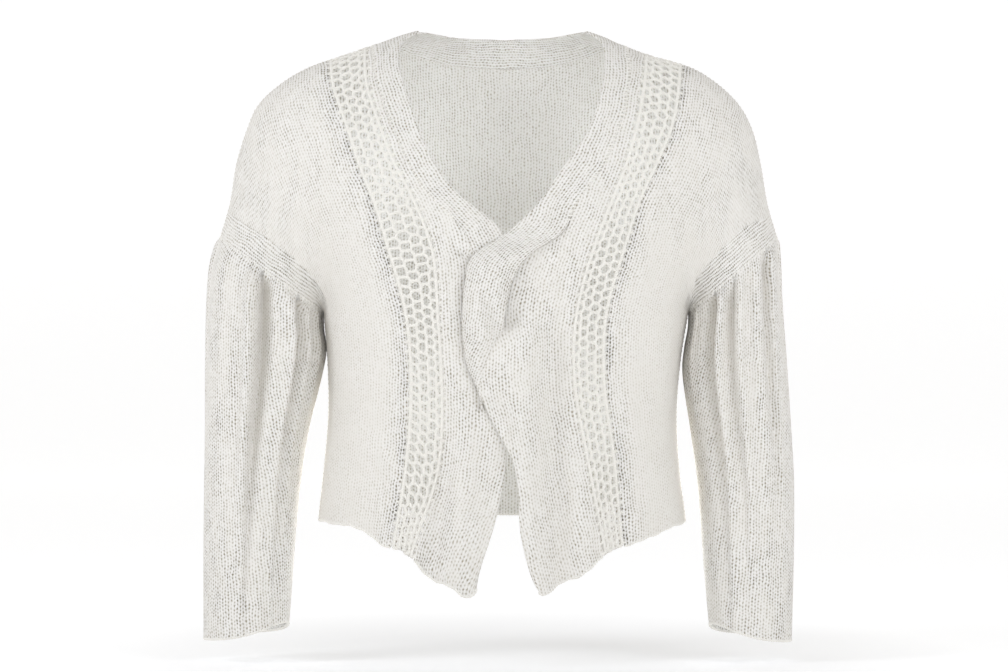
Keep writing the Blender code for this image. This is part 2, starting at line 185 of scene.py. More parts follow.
# Further out than the roll lies a soft valley. Below the twist a few long folds hang down each front.
ROLL_OUTER_WIDTH = 17
ROLL_TOP = -262
ROLL_FADE = 40
VALLEY_OUT = 33
VALLEY_WIDTH = 12
VALLEY_DEPTH = 7
FOLDS = {
    RIGHT: table(
        "top_height bottom_height top_out bottom_out width lift",
        (-405, -560, 92, 118, 12, 3),
        (-375, -555, 32, 44, 15, 6),
        (-360, -540, 50, 72, 9, -9),
    ),
    LEFT: table(
        "top_height bottom_height top_out bottom_out width lift",
        (-420, -540, 74, 84, 12, 4),
        (-400, -520, 100, 128, 12, -3),
    ),
}
# The right front sinks a little beside its edge, to make room for the strand.
TUCK_TOP = -215
TUCK_WIDTH = 45
TUCK_SLOPE = 20
TUCK_DEPTH = 3.2
# The hem's corners are rounded, and its edge is a little uneven.
CORNER_RADIUS = {RIGHT: 16, LEFT: 10}
CORNER_RISE = 0.12
HEM_WAVE = 0.5
HEM_WAVE_LENGTHS = (4.3, 2.1)
WAVE_RISE = 0.03

# %% [markdown]
# ## The worn shape
#
# Cloth that nobody wears here still keeps the round of a chest, because the pictures of such garments are
# taken on a figure that is taken out afterwards. It could be sculpted, or draped by simulation over a
# figure. One formula is chosen: it gives every piece the same surface, so neighbours meet at their seams.


# %% The worn shape
def curve(rows, column, at):
    """A smooth curve through one column of a table, read at any values of the first column."""
    knots, values = next(iter(rows.values())), rows[column]
    slopes = np.gradient(values, knots)
    at = np.clip(at, knots[0], knots[-1])
    first = np.clip(np.searchsorted(knots, at, side="right") - 1, 0, len(knots) - 2)
    span = knots[first + 1] - knots[first]
    share = (at - knots[first]) / span
    rest = 1 - share
    return (
        values[first] * rest**2 * (1 + 2 * share)
        + slopes[first] * span * rest**2 * share
        + values[first + 1] * share**2 * (3 - 2 * share)
        - slopes[first + 1] * span * share**2 * rest
    )


def side_name(side):
    return "right" if side == RIGHT else "left"


def unit(vectors):
    """The same directions, one long."""
    return vectors / np.maximum(np.linalg.norm(vectors, axis=-1, keepdims=True), 1e-9)


def bell(aside):
    """A bell curve: exp(-aside^2)."""
    return np.exp(-(aside**2))


def way_along(paths, axis=0):
    """Distance covered along lines of points, which follow one another over an axis."""
    first = np.take(paths, [0], axis=axis)
    return np.cumsum(np.linalg.norm(np.diff(paths, axis=axis, prepend=first), axis=-1), axis=axis)


def ring(across, width, depth):
    """Distances out and forward of a rounded ring of the body, from its side to its middle."""
    turn = across * np.pi / 2
    reach = (np.abs(np.cos(turn)) / width) ** RING_POWER + (np.abs(np.sin(turn)) / depth) ** RING_POWER
    reach = reach ** (-1 / RING_POWER)
    return reach * np.cos(turn), reach * np.sin(turn)


def body(side, face, across, rise):
    """Points of the worn body.

    across goes from the side (0) to the middle (1), and rise from the hem (0) over the underarm
    (UNDERARM_RISE) to the shoulder line (1). Below the underarm the points lie on level rings. Above it each
    column runs from the underarm ring to the shoulder line, its depth falling like a quarter circle, and the
    columns next to the armhole follow the round of the upper arm instead.
    """
    across, rise = np.broadcast_arrays(np.asarray(across, dtype=float), np.asarray(rise, dtype=float))
    name, depth_name = side_name(side), "front" if face == FRONT else "back"
    hem_out, _ = ring(across, HEM_HALF_WIDTH, HEM_DEPTH)
    hem = curve(HEM_FRONT, name, hem_out) if face == FRONT else np.full(across.shape, HEM_BACK)
    low_share = np.clip(rise / UNDERARM_RISE, 0, 1)
    height = hem + (UNDERARM_HEIGHT - hem) * low_share
    width, depth = (curve(BODY, column, height) for column in (name, depth_name))
    out, forward = ring(across, width, depth)

    climb = np.clip((rise - UNDERARM_RISE) / (1 - UNDERARM_RISE), 0, 1) * np.pi / 2
    corner = bell(across / ARM_CORNER)
    lifted = (1 - corner) * np.sin(climb) + corner * (1 - np.cos(2 * climb)) / 2
    spread = lifted ** (2 - corner)
    arm = ARMHOLE_DEPTH * bell(across / ARM_REACH) * np.sin(2 * climb)
    out = out + (curve(SHOULDER, name, across) - out) * spread
    height = height + (curve(SHOULDER, "height", across) - height) * lifted
    forward = ((forward * np.cos(climb)) ** 3 + np.abs(arm) ** 3) ** (1 / 3)
    return np.stack([side * out, face * forward, height], axis=-1)


def body_normal(side, face, across, rise, step=0.005):
    """Outward directions of the body, from the way its points run across and up."""
    aside = body(side, face, across + step, rise) - body(side, face, np.maximum(across - step, 0), rise)
    above, below = np.minimum(rise + step, 1), np.maximum(rise - step, 0)
    upwards = body(side, face, across, above) - body(side, face, across, below)
    return unit(np.cross(aside, upwards) * side * face)


def halve(low, high, too_low):
    """The place between two arrays where a test stops being true."""
    for _ in range(30):
        middle = (low + high) / 2
        below = too_low(middle)
        low, high = np.where(below, middle, low), np.where(below, high, middle)
    return (low + high) / 2


def across_at(side, rise, edges, column):
    """For each rise, the across share where a front crosses a line of an edge table."""

    def outside(across):
        point = body(side, FRONT, across, rise)
        return side * point[..., 0] > curve(edges, column, point[..., 2])

    return halve(np.zeros_like(rise), np.full_like(rise, 1.6), outside)


def height_at(side, across, column):
    """For each across share, the rise where the back comes up to a line of the back of the neck."""

    def below(rise):
        point = body(side, BACK, across, rise)
        return point[..., 2] < curve(BACK_NECK, column, side * point[..., 0])

    return halve(np.full_like(across, UNDERARM_RISE), np.ones_like(across), below)


def fold_lift(side, out, height):
    """How far the soft folds of a hanging front stand out, each one growing from its top."""
    lift = np.zeros_like(out)
    for top, bottom, top_out, bottom_out, width, raised in zip(*FOLDS[side].values()):
        share = np.clip((top - height) / (top - bottom), 0, 1)
        middle = top_out + (bottom_out - top_out) * share
        spread = width * (0.6 + 0.8 * share)
        lift += raised * np.sin(share * np.pi / 2) * bell((out - middle) / spread)
    return lift


def front_lift(side, points):
    """How far a front stands out from the body: its folds, the roll beside the twist, and room under it."""
    out, height = points[..., 0] * side, points[..., 2]
    folds = fold_lift(side, out, height)
    if side == RIGHT:
        from_edge = out - curve(RIGHT_EDGE, "front", height)
        tuck = np.clip((TUCK_WIDTH - from_edge) / TUCK_SLOPE, 0, 1) * (height < TUCK_TOP)
        return folds - TUCK_DEPTH * tuck
    along = np.clip((ROLL_TOP - height) / ROLL_FADE, 0, 1)
    middle = curve(ROLL, "middle", height)
    width = np.where(out > middle, ROLL_OUTER_WIDTH, curve(ROLL, "inner_width", height))
    roll = curve(ROLL, "lift", height) * bell((out - middle) / width)
    valley = VALLEY_DEPTH * bell((out - middle - VALLEY_OUT) / VALLEY_WIDTH)
    return along * (roll - valley) + folds


def corner_lift(side, points, rise):
    """How far the hem rises to round the corner at the free edge: radius - sqrt(radius^2 - short^2)."""
    radius = CORNER_RADIUS[side]
    from_edge = side * points[..., 0] - curve(EDGES[side], "front", points[..., 2])
    short = np.clip(radius - from_edge, 0, radius * 0.98)
    return (radius - np.sqrt(radius**2 - short**2)) * np.clip(1 - rise / CORNER_RISE, 0, 1)


def front_at(side, across, rise):
    """Points of a front with its folds, roll, round corner and uneven hem, and the outward directions."""
    across, rise = np.broadcast_arrays(across, rise)
    points, normals = body(side, FRONT, across, rise), body_normal(side, FRONT, across, rise)
    lifted = points + normals * front_lift(side, points)[..., None]
    lifted[..., 2] += corner_lift(side, points, rise)
    long, short = HEM_WAVE_LENGTHS
    waves = np.sin(points[..., 0] / long) + np.sin(points[..., 0] / short + side)
    lifted[..., 2] += HEM_WAVE * waves * np.clip(1 - rise / WAVE_RISE, 0, 1)
    return lifted, normals


print("underarm", body(RIGHT, FRONT, 0.0, UNDERARM_RISE).round(), "mm")

# %% [markdown]
# ## From grids to cloth
#
# Knitted cloth is soft and thick, so its cut edges are round. A plane with a Solidify modifier would have
# square rims. Here each piece is a grid of points with a second grid one cloth thickness inside it, and
# half-round rims between their borders, so two pieces that meet show the groove of a seam.


# %% Walls and tubes
RIGHT_SIDE_SLOT, REVERSE_SLOT, YARN_SLOT = range(3)
TUBE_SIDES = 6
# A place inside the body, which the reverse of the cloth looks at.
INSIDE = np.array([0, 0, -300])


def grid_normals(points):
    """Directions square to a grid: the way its columns run, crossed with the way its rows run."""
    return unit(np.cross(np.gradient(points, axis=1), np.gradient(points, axis=0)))


def wall(points, stitches, relief, inside=INSIDE):
    """A closed wall over a grid of outer points, as arrays.

    The inner grid lies WALL inside the outer one. Between the borders run three lines of points on a half
    circle: middle + outward * sine + normal * cosine. relief, one number or one for each point, is how far
    the stitches stand open, and inside is a place that the wall's back looks at.
    """
    relief = np.broadcast_to(relief, points.shape[:2])
    if np.sum(grid_normals(points) * (points - inside)) < 0:
        points, stitches, relief = points[:, ::-1], stitches[:, ::-1], relief[:, ::-1]
    normals = grid_normals(points)
    rows, columns = points.shape[:2]
    count = rows * columns
    index = np.arange(count).reshape(rows, columns)
    border = np.concatenate([index[0, :-1], index[:-1, -1], index[-1, :0:-1], index[:0:-1, 0]])
    inward = index[np.clip(border // columns, 1, rows - 2), np.clip(border % columns, 1, columns - 2)]

    points, normals = points.reshape(-1, 3), normals.reshape(-1, 3)
    stitches, relief = stitches.reshape(-1, 2), relief.reshape(-1)
    way = points[border] - points[inward]
    stitch_way = (stitches[border] - stitches[inward]) / np.linalg.norm(way, axis=1)[:, None]
    outward = unit(way - np.sum(way * normals[border], axis=1)[:, None] * normals[border])
    radius = WALL / 2
    middle = points[border] - normals[border] * radius
    rims, rim_stitches = [], []
    for turn in np.pi * np.array([0.25, 0.5, 0.75]):
        rims.append(middle + (normals[border] * np.cos(turn) + outward * np.sin(turn)) * radius)
        rim_stitches.append(stitches[border] + stitch_way * radius * turn)

    outer = np.stack([index[:-1, :-1], index[:-1, 1:], index[1:, 1:], index[1:, :-1]], -1).reshape(-1, 4)
    inner = outer[:, ::-1] + count
    rim_index = [border, *(2 * count + len(border) * line + np.arange(len(border)) for line in range(3))]
    rim_index.append(border + count)
    rim_faces = [
        np.stack([np.roll(near, -1), near, far, np.roll(far, -1)], -1)
        for near, far in zip(rim_index[:-1], rim_index[1:])
    ]
    return {
        "points": np.concatenate([points, points - normals * WALL, *rims]),
        "faces": np.concatenate([outer, *rim_faces, inner]),
        "slots": np.repeat([RIGHT_SIDE_SLOT, REVERSE_SLOT], [len(outer) + 4 * len(border), len(inner)]),
        "stitches": np.concatenate([stitches, stitches, *rim_stitches]),
        "relief": np.concatenate([relief, relief, np.tile(relief[border], 3)]),
    }


def tubes(paths, normals, radius):
    """Round tubes with closed ends along paths, an array of paths by points by 3, as arrays.

    Each ring lies in the plane of the direction square to the cloth and the direction square to the path.
    """
    count, length = paths.shape[:2]
    forward = unit(np.gradient(paths, axis=1))
    beside = unit(np.cross(forward, normals))
    above = np.cross(beside, forward)
    turn = np.arange(TUBE_SIDES) * 2 * np.pi / TUBE_SIDES
    radius = np.broadcast_to(radius, (count, length))[:, :, None, None]
    circle = above[:, :, None] * np.cos(turn)[:, None] + beside[:, :, None] * np.sin(turn)[:, None]
    points = paths[:, :, None] + circle * radius
    index = np.arange(count * length * TUBE_SIDES).reshape(count, length, TUBE_SIDES)
    near, far = index[:, :-1], index[:, 1:]
    faces = np.stack([near, far, np.roll(far, -1, axis=2), np.roll(near, -1, axis=2)], -1).reshape(-1, 4)
    # Each end is a hexagon, closed by two faces of four corners.
    caps = ((0, [0, 1, 2, 3]), (0, [0, 3, 4, 5]), (-1, [3, 2, 1, 0]), (-1, [5, 4, 3, 0]))
    faces = np.concatenate([faces, *(index[:, end][:, corners] for end, corners in caps)])
    way = way_along(paths, 1)
    around = np.broadcast_to(np.arange(TUBE_SIDES) / TUBE_SIDES, points.shape[:3])
    stitches = np.stack([around, np.broadcast_to(way[..., None] / COURSE, points.shape[:3])], -1)
    return {
        "points": points.reshape(-1, 3),
        "faces": faces,
        "slots": np.full(len(faces), YARN_SLOT),
        "stitches": stitches.reshape(-1, 2),
        "relief": np.ones(count * length * TUBE_SIDES),
    }


def plied(lines, radius, spread, pitch, depth=WALL / 2):
    """Yarn of two strands, as tubes of a radius, at a depth below lines on the cloth.

    lines are pairs of points and outward directions. The strands wind round their line, offset by spread,
    and turn once in each pitch of length.
    """
    paths, normals = (np.concatenate(part) for part in zip(*lines))
    paths = paths - normals * depth
    beside = unit(np.cross(unit(np.gradient(paths, axis=1)), normals))
    way = way_along(paths, 1)
    strands = []
    for start in (0, np.pi):
        turn = (way / pitch * 2 * np.pi + start)[..., None]
        strands.append(paths + (normals * np.cos(turn) + beside * np.sin(turn)) * spread)
    return tubes(np.concatenate(strands), np.concatenate([normals, normals]), radius)


def stitch_counts(points, start):
    """Legs of stitches along each row of a grid, counted from one column, and courses up that column."""
    legs = way_along(points, 1) / LEG
    legs = legs - legs[:, [start]]
    courses = way_along(points[:, start]) / COURSE
    return np.stack([legs, np.broadcast_to(courses[:, None], legs.shape)], -1)


def make_piece(node, parts, slot="knit"):
    """An object of several walls and tubes, smooth, with its stitch counts as a UV map, in place of a node.
    """
    name = node + "_knit"
    starts = np.cumsum([0] + [len(part["points"]) for part in parts])
    faces = np.concatenate([part["faces"] + start for part, start in zip(parts, starts)])
    points, stitches, relief, slots = (
        np.concatenate([part[key] for part in parts]) for key in ("points", "stitches", "relief", "slots")
    )
    mesh = bpy.data.meshes.new(name)
    mesh.from_pydata(points * METRE, [], faces)
    mesh.polygons.foreach_set("use_smooth", np.ones(len(faces), dtype=bool))
    mesh.polygons.foreach_set("material_index", slots.astype(np.int32))
    layer = mesh.uv_layers.new(name="stitches")
    layer.uv.foreach_set("vector", stitches[faces.ravel()].astype(np.float32).ravel())
    mesh.attributes.new("relief", "FLOAT", "POINT").data.foreach_set("value", relief.astype(np.float32))
    for material in (RIGHT_SIDE[slot], REVERSE_SIDE, YARN):
        mesh.materials.append(material)
    mesh.update()
    piece = bpy.data.objects.new(name, mesh)
    bpy.context.scene.collection.objects.link(piece)
    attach(piece, "root")
    area = sum(polygon.area for polygon in mesh.polygons) / 2
    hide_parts(node)
    print(f"{name}: {2 * len(faces)} triangles, cloth {area:.4f} m2")


# %% [markdown]
# ## Yarn and stitches
#
# The yarn is a soft spun blend, cream and matt, with short loose fibres. Knitted plain, each stitch shows
# as a V on the right side and as a low bump on the reverse. The Vs could be modelled as real loops, but
# that takes tens of faces a stitch and the cardigan has some thirty-five thousand of them. So the stitch is a
# height formula in the material, with painted shade in its hollows, counted in wales and courses by the UV
# map, and only the open strips and edges, where the eye sees single strands, are modelled yarn.

# %% Materials
# Undyed yarn is a warm white. SHADED is painted shade: the colour of the shaded depth between the stitches.
UNDYED = "#ECEAE6"
SHADED = "#A49A81"
REVERSE = "#E6E5E1"
STRAND_LIT = "#F3F1EC"
STRAND_SHADED = "#E0DDD4"
# How much painted shade lies on pressed cloth, from 0 for bare yarn to 1 for a hollow.
FLAT_PAINTED_SHADE = 0.2


def linear(code):
    """An sRGB hex code as linear colour with alpha."""
    part = np.array([int(code[place : place + 2], 16) for place in (1, 3, 5)]) / 255
    part = np.where(part <= 0.04045, part / 12.92, ((part + 0.055) / 1.055) ** 2.4)
    return (*part.tolist(), 1)


def add(tree, kind, links=None, out=0, **settings):
    """Adds a shader node and returns one of its outputs; links gives each input a value or an output."""
    node = tree.nodes.new("ShaderNode" + kind)
    for key, value in settings.items():
        setattr(node, key, value)
    for key, value in (links or {}).items():
        if isinstance(value, bpy.types.NodeSocket):
            tree.links.new(value, node.inputs[key])
        else:
            node.inputs[key].default_value = value
    return node.outputs[out]


def maths(tree, operation, *values):
    """A Math node with its inputs in order."""
    return add(tree, "Math", dict(enumerate(values)), operation=operation)


def vectors(tree, operation, *values):
    """A VectorMath node with its inputs in order."""
    return add(tree, "VectorMath", dict(enumerate(values)), operation=operation)


def matt_yarn(name):
    """A material as matt as loose fibres make it, its shader, its nodes and the place on the object."""
    material = bpy.data.materials.new(name)
    material.use_nodes = True
    tree = material.node_tree
    shader = tree.nodes["Principled BSDF"]
    shader.inputs["Roughness"].default_value = 0.92
    shader.inputs["Specular IOR Level"].default_value = 0.25
    shader.inputs["Sheen Weight"].default_value = 0.1
    shader.inputs["Sheen Roughness"].default_value = 0.5
    return material, shader, tree, add(tree, "TexCoord", out=3)


def spun_yarn(name, yarn, closed=0.6, opened=1.1):
    """Spun yarn, knitted plain: two legs to each V, and a hollow with painted shade wherever four strands
    part.

    Strands run in a zigzag, phase = course + pingpong(leg) / 2. A hollow is
    (1 - 0.9 * sin(pi * distance to the edge of the leg)) * (1 - 0.75 * sin(pi * fraction of phase)). closed
    and opened are the shares of it left where the stitches lie closest and stand most open.
    """
    material, shader, tree, place = matt_yarn(name)
    stitch = add(tree, "UVMap", uv_map="stitches")
    # The hand of the knitter: stitches wander by a fraction of their width over 20 mm, and again over 5 mm.
    for scale, amount in ((50.0, 1.5), (200.0, 0.5)):
        wander = add(tree, "TexNoise", {"Vector": place, "Scale": scale, "Detail": 1.0}, out=1)
        wander = vectors(tree, "SUBTRACT", wander, (0.5, 0.5, 0.5))
        wander = vectors(tree, "MULTIPLY", wander, (amount, amount, 0))
        stitch = vectors(tree, "ADD", stitch, wander)
    leg = add(tree, "SeparateXYZ", {0: stitch})
    course = add(tree, "SeparateXYZ", {0: stitch}, out=1)
    phase = maths(tree, "MULTIPLY_ADD", maths(tree, "PINGPONG", leg, 1.0), 0.5, course)
    strand = maths(tree, "MULTIPLY", maths(tree, "FRACT", phase), np.pi)
    parting = maths(tree, "MULTIPLY_ADD", maths(tree, "SINE", strand), -0.75, 1.0)
    edge = maths(tree, "MULTIPLY", maths(tree, "PINGPONG", leg, 0.5), np.pi)
    edge = maths(tree, "MULTIPLY_ADD", maths(tree, "SINE", edge), -0.9, 1.0)
    hollow_depth = maths(tree, "MULTIPLY", parting, edge)
    # No two stitches are drawn equally tight: one random number for each hollow.
    one = add(tree, "CombineXYZ", {0: leg, 1: phase})
    one = vectors(tree, "FLOOR", vectors(tree, "ADD", one, (0.5, 0.5, 0)))
    tight = add(tree, "TexWhiteNoise", {"Vector": one}, noise_dimensions="2D")
    tight = maths(tree, "MULTIPLY_ADD", tight, 0.7, 0.6)
    hollow_depth = maths(tree, "MULTIPLY", hollow_depth, tight)
    # Long patches along the wales, where the stitches stand open or lie closed.
    patch = vectors(tree, "MULTIPLY", place, (80, 80, 22))
    patch = add(tree, "TexNoise", {"Vector": patch, "Scale": 1.0, "Detail": 1.0})
    patch = add(tree, "MapRange", {0: patch, 1: 0.36, 2: 0.64, 3: closed, 4: opened})
    relief = add(tree, "Attribute", attribute_name="relief", out=2)
    relief = maths(tree, "MULTIPLY", relief, patch)
    painted_shade_and_mottle = add(tree, "MapRange", {0: hollow_depth, 1: 0.1, 2: 0.82})
    # Painted shade in the hollows: where the stitches are pressed flat, their hollows close and the shade
    # evens out to a flat share.
    painted_shade_and_mottle = maths(tree, "SUBTRACT", painted_shade_and_mottle, FLAT_PAINTED_SHADE)
    painted_shade_and_mottle = maths(tree, "MULTIPLY_ADD", painted_shade_and_mottle, relief, FLAT_PAINTED_SHADE)
    # Cloudy mottling in the yarn's own tone.
    cloudy = add(tree, "TexNoise", {"Vector": place, "Scale": 30.0, "Detail": 3.0})
    painted_shade_and_mottle = maths(tree, "MULTIPLY_ADD", cloudy, 0.08, painted_shade_and_mottle)
    # The yarn's own colour, mixed towards SHADED by the painted shade of the hollows and by the mottling.
    colour = add(tree, "Mix", {0: painted_shade_and_mottle, 6: linear(yarn), 7: linear(SHADED)}, out=2, data_type="RGBA")
    # Loose fibres, a quarter of a millimetre apart.
    fibre = add(tree, "TexNoise", {"Vector": place, "Scale": 2200.0, "Detail": 2.0})
    height = maths(tree, "SUBTRACT", maths(tree, "MULTIPLY_ADD", fibre, 0.2, 1.0), hollow_depth)
    bump = add(tree, "Bump", {"Height": height, "Strength": relief, "Distance": 0.0015})
    tree.links.new(colour, shader.inputs["Base Color"])
    tree.links.new(bump, shader.inputs["Normal"])
    return material


def plied_yarn(name):
    """The same yarn seen as single strands: loose fibres lie along and stand off it."""
    material, shader, tree, place = matt_yarn(name)
    fibre = add(tree, "TexNoise", {"Vector": place, "Scale": 1500.0, "Detail": 3.0})
    tones = {6: linear(STRAND_LIT), 7: linear(STRAND_SHADED)}
    colour = add(tree, "Mix", {0: fibre, **tones}, out=2, data_type="RGBA")
    bump = add(tree, "Bump", {"Height": fibre, "Strength": 0.6, "Distance": 0.0004})
    tree.links.new(colour, shader.inputs["Base Color"])
    tree.links.new(bump, shader.inputs["Normal"])
    return material


RIGHT_SIDE = {"knit": spun_yarn("spun_yarn_right_side", UNDYED)}
REVERSE_SIDE = spun_yarn("spun_yarn_reverse", REVERSE, 0.85)
RIGHT_SIDE["band"] = spun_yarn("spun_yarn_band", UNDYED, 0.8)
YARN = plied_yarn("plied_yarn")
print("materials", [material.name for material in bpy.data.materials])

# %% [markdown]
# ## The fronts
#
# Each front is knitted from the hem up in one piece: plain from the side seam to the open strip, the strip
# itself, and plain again to the neckband. The strip is a net, because there the knitter drops and crosses
# stitches: five upright cords of plied yarn, joined by bars that lie half a step apart from one column of
# holes to the next. The holes could be cut from a wall or painted with alpha; as modelled yarn they have
# thick round edges and let the back's inside show through, as in the picture.

# %% Lines of the fronts
# The strip's two edges, as seen from the front: distance out from the middle at each height.
LACE_EDGES = table(
    "height right_outer right_inner left_outer left_inner",
    (-510, 110, 90, 121, 101),
    (-428, 98, 64, 113, 85),
    (-326, 93, 60, 101, 69),
    (-278, 97, 63, 103, 71),
    (-204, 117, 70, 123, 90),
    (-158, 131, 88, 138, 108),
    (-128, 143, 104, 152, 120),
    (-86, 157, 121, 170, 132),
    (-38, 173, 136, 179, 141),
    (-13, 176, 138, 182, 144),
)
SIDE_INSET = 0.0045
EDGE_INSET = 0.0035
ARMHOLE_INSET = 0.0015
SHOULDER_INSET = 0.0022
NECK_INSET = 0.0018
LACE_REPEATS = 54
STRIP_WIDTH = 33
LINE_RISES = np.linspace(0, 1 - SHOULDER_INSET, 700)


def front_lines(side):
    """Across shares of a front's lines over LINE_RISES, and the way up its open strip."""
    name = side_name(side)
    lines = {line: across_at(side, LINE_RISES, LACE_EDGES, f"{name}_{line}") for line in ("outer", "inner")}
    for column in ("front", "band_inner", "band_outer"):
        lines[column] = across_at(side, LINE_RISES, EDGES[side], column)
    path = body(side, FRONT, (lines["outer"] + lines["inner"]) / 2, LINE_RISES)
    lines["way"] = way_along(path)
    return lines


LINES = {side: front_lines(side) for side in (RIGHT, LEFT)}


def on_line(side, name, rise):
    return np.interp(rise, LINE_RISES, LINES[side][name])


def rise_at(side, share):
    """The rise at a share of the open strip's length."""
    way = LINES[side]["way"]
    return np.interp(share * way[-1], way, LINE_RISES)


def share_width(side, rise):
    """Millimetres of cloth to one across share, beside the open strip."""
    across, step = on_line(side, "outer", rise), 0.01
    apart = body(side, FRONT, across + step, rise) - body(side, FRONT, across, rise)
    return np.linalg.norm(apart, axis=-1) / step


print("open strips", [round(LINES[side]["way"][-1]) for side in LINES], "mm long")

# %% The fronts
FRONT_ROWS = 130
OUTER_COLUMNS = 36
BORDER_COLUMNS = 9
BORDER_LEGS = 11
HAIR = 0.3
INNER_COLUMNS = 44
CHEST_RELIEF = 0.42
SHOULDER_RELIEF = 0.3
INNER_RELIEF = 0.85
SLIT = 2.4
# Plied yarn: radius of a strand, its offset from the middle, and the length of one turn. A cord is drawn
# tight, and single stitches span the slits on both sides of the strip.
CORD = (1.15, 0.85, 4.9)
BAR = (1.1, 0.85, 9)
STITCH = (1.0, 0.75, 7)
ROPE = (0.95, 0.75, LEG * 2)
CORD_SHARES = (0.04, 0.29, 0.55, 0.79, 0.96)
LAST_CORD = len(CORD_SHARES) - 1
CORD_STEPS = 430
BAR_SLANT = 0.0022
STAGGER = (0.02, 0.5)
STITCH_REACH = SLIT + 1.4
ROPE_STEP = 0.9
ROPE_STAND = 0.5
ZIGZAG = 0.9
UNEVEN = 0.03
FOOT_SHARE = {RIGHT: 0.075, LEFT: 0.08}
FOOT_LINES = 14
FOOT_SINK = 0.9


def plain_zone(side, rise, start, end, share):
    """Points of a plain stretch of a front between two lines of across shares."""
    return front_at(side, start[:, None] + (end - start)[:, None] * share, rise[:, None])[0]


def lace_path(side, share, up):
    """Points and outward directions in the open strip, at shares of its width and length."""
    rise = rise_at(side, up)
    outer, inner = on_line(side, "outer", rise), on_line(side, "inner", rise)
    return front_at(side, outer + (inner - outer) * share, rise)


def cord_share(side, cord, up):
    """Where a cord of the net lies: straight at the borders, and between them pulled to each bar in turn.

    A smooth random line, with a knot at each bar and a seed for each cord, makes it uneven as by hand.
    """
    if cord in (0, LAST_CORD):
        return np.full_like(up, CORD_SHARES[cord])
    knots = np.random.default_rng(10 * cord + side).uniform(-UNEVEN, UNEVEN, 2 * LACE_REPEATS + 1)
    uneven = np.interp(up * (len(knots) - 1), np.arange(len(knots)), knots)
    sway = ZIGZAG / STRIP_WIDTH * (-1) ** cord * np.cos(up * LACE_REPEATS * 2 * np.pi)
    return CORD_SHARES[cord] + sway + uneven


def lace(side):
    """The open strip: cords, the bars between them, and stitches to the plain cloth on both sides."""
    up = np.linspace(0.001, 0.999, CORD_STEPS)[None]
    cords = [lace_path(side, cord_share(side, cord, up), up) for cord in range(LAST_CORD + 1)]
    share = np.linspace(0, 1, 7)
    bars, stitches = [], []
    for column in range(LAST_CORD):
        rows = (np.arange(LACE_REPEATS) + STAGGER[column % 2]) / LACE_REPEATS
        slant = np.random.default_rng(column).uniform(-BAR_SLANT, BAR_SLANT, (LACE_REPEATS, 2))
        rows = rows[:, None] + slant[:, :1] + (slant[:, 1:] - slant[:, :1]) * share
        low, high = (cord_share(side, column + end, rows) for end in (0, 1))
        bars.append(lace_path(side, low + (high - low) * share, rows))
    rise = rise_at(side, (np.arange(LACE_REPEATS) + 0.25) / LACE_REPEATS)
    reach = (STITCH_REACH / share_width(side, rise))[:, None] * np.linspace(-0.2, 1.1, 5)
    for name, way in (("outer", -1), ("inner", 1)):
        stitches.append(front_at(side, on_line(side, name, rise)[:, None] + reach * way, rise[:, None]))
    return [plied(cords, *CORD), plied(bars, *BAR), plied(stitches, *STITCH)]


def lace_foot(side):
    """The lowest rows of the strip, knitted closed behind its cords."""
    up, share = np.linspace(0, FOOT_SHARE[side], FOOT_LINES)[:, None], np.linspace(0, 1, FOOT_LINES)
    points, normals = lace_path(side, share, up)
    points = points - normals * FOOT_SINK
    return wall(points, stitch_counts(points, 0), 1.0)


def line_at(line, way, steps):
    """Points, or other rows of three numbers, at given distances along a line."""
    return np.stack([np.interp(steps, way, line[:, axis]) for axis in range(3)], axis=-1)


def edge_rope(points, row, inside=INSIDE):
    """The cast-on edge of a grid's first or last row: two strands wound once in two wales."""
    edge, near = points[row], points[1 if row == 0 else -2]
    normals = grid_normals(points)[row]
    normals = normals * np.sign(np.sum(normals * (edge - inside)))
    path = edge - normals * WALL / 2 + unit(edge - near) * ROPE_STAND
    way = way_along(path)
    steps = np.linspace(0, way[-1], int(way[-1] / ROPE_STEP))
    path, normals = (line_at(line, way, steps)[None] for line in (path, normals))
    return plied([(path, unit(normals))], *ROPE, depth=0)


def front_relief(points, legs, rise):
    """How far the stitches of a front's outer zone stand open.

    The hollows show most beside the openwork, on the border and on the shoulder, where the cloth is
    stretched, and least on the chest and the sides, where bright light washes them out. The relief scales
    both their bump and the painted shade in them.
    """
    # They open over 80 mm upwards from a height of -230 mm, and within some six legs of the openwork.
    relief = CHEST_RELIEF + SHOULDER_RELIEF * np.clip((points[..., 2] + 230) / 80, 0, 1)
    plain, border = relief[:, BORDER_COLUMNS:], relief[:, :BORDER_COLUMNS]
    beside_lace = legs[:, BORDER_COLUMNS:]
    plain += (1 - plain) * bell(beside_lace / 6)
    plain += 0.8 * bell(beside_lace / 1.5)
    bordered = np.clip((rise - UNDERARM_RISE) / 0.06, 0, 1) * np.clip((0.97 - rise) / 0.1, 0, 1)
    border += (1 - border) * bordered[:, None]
    return relief


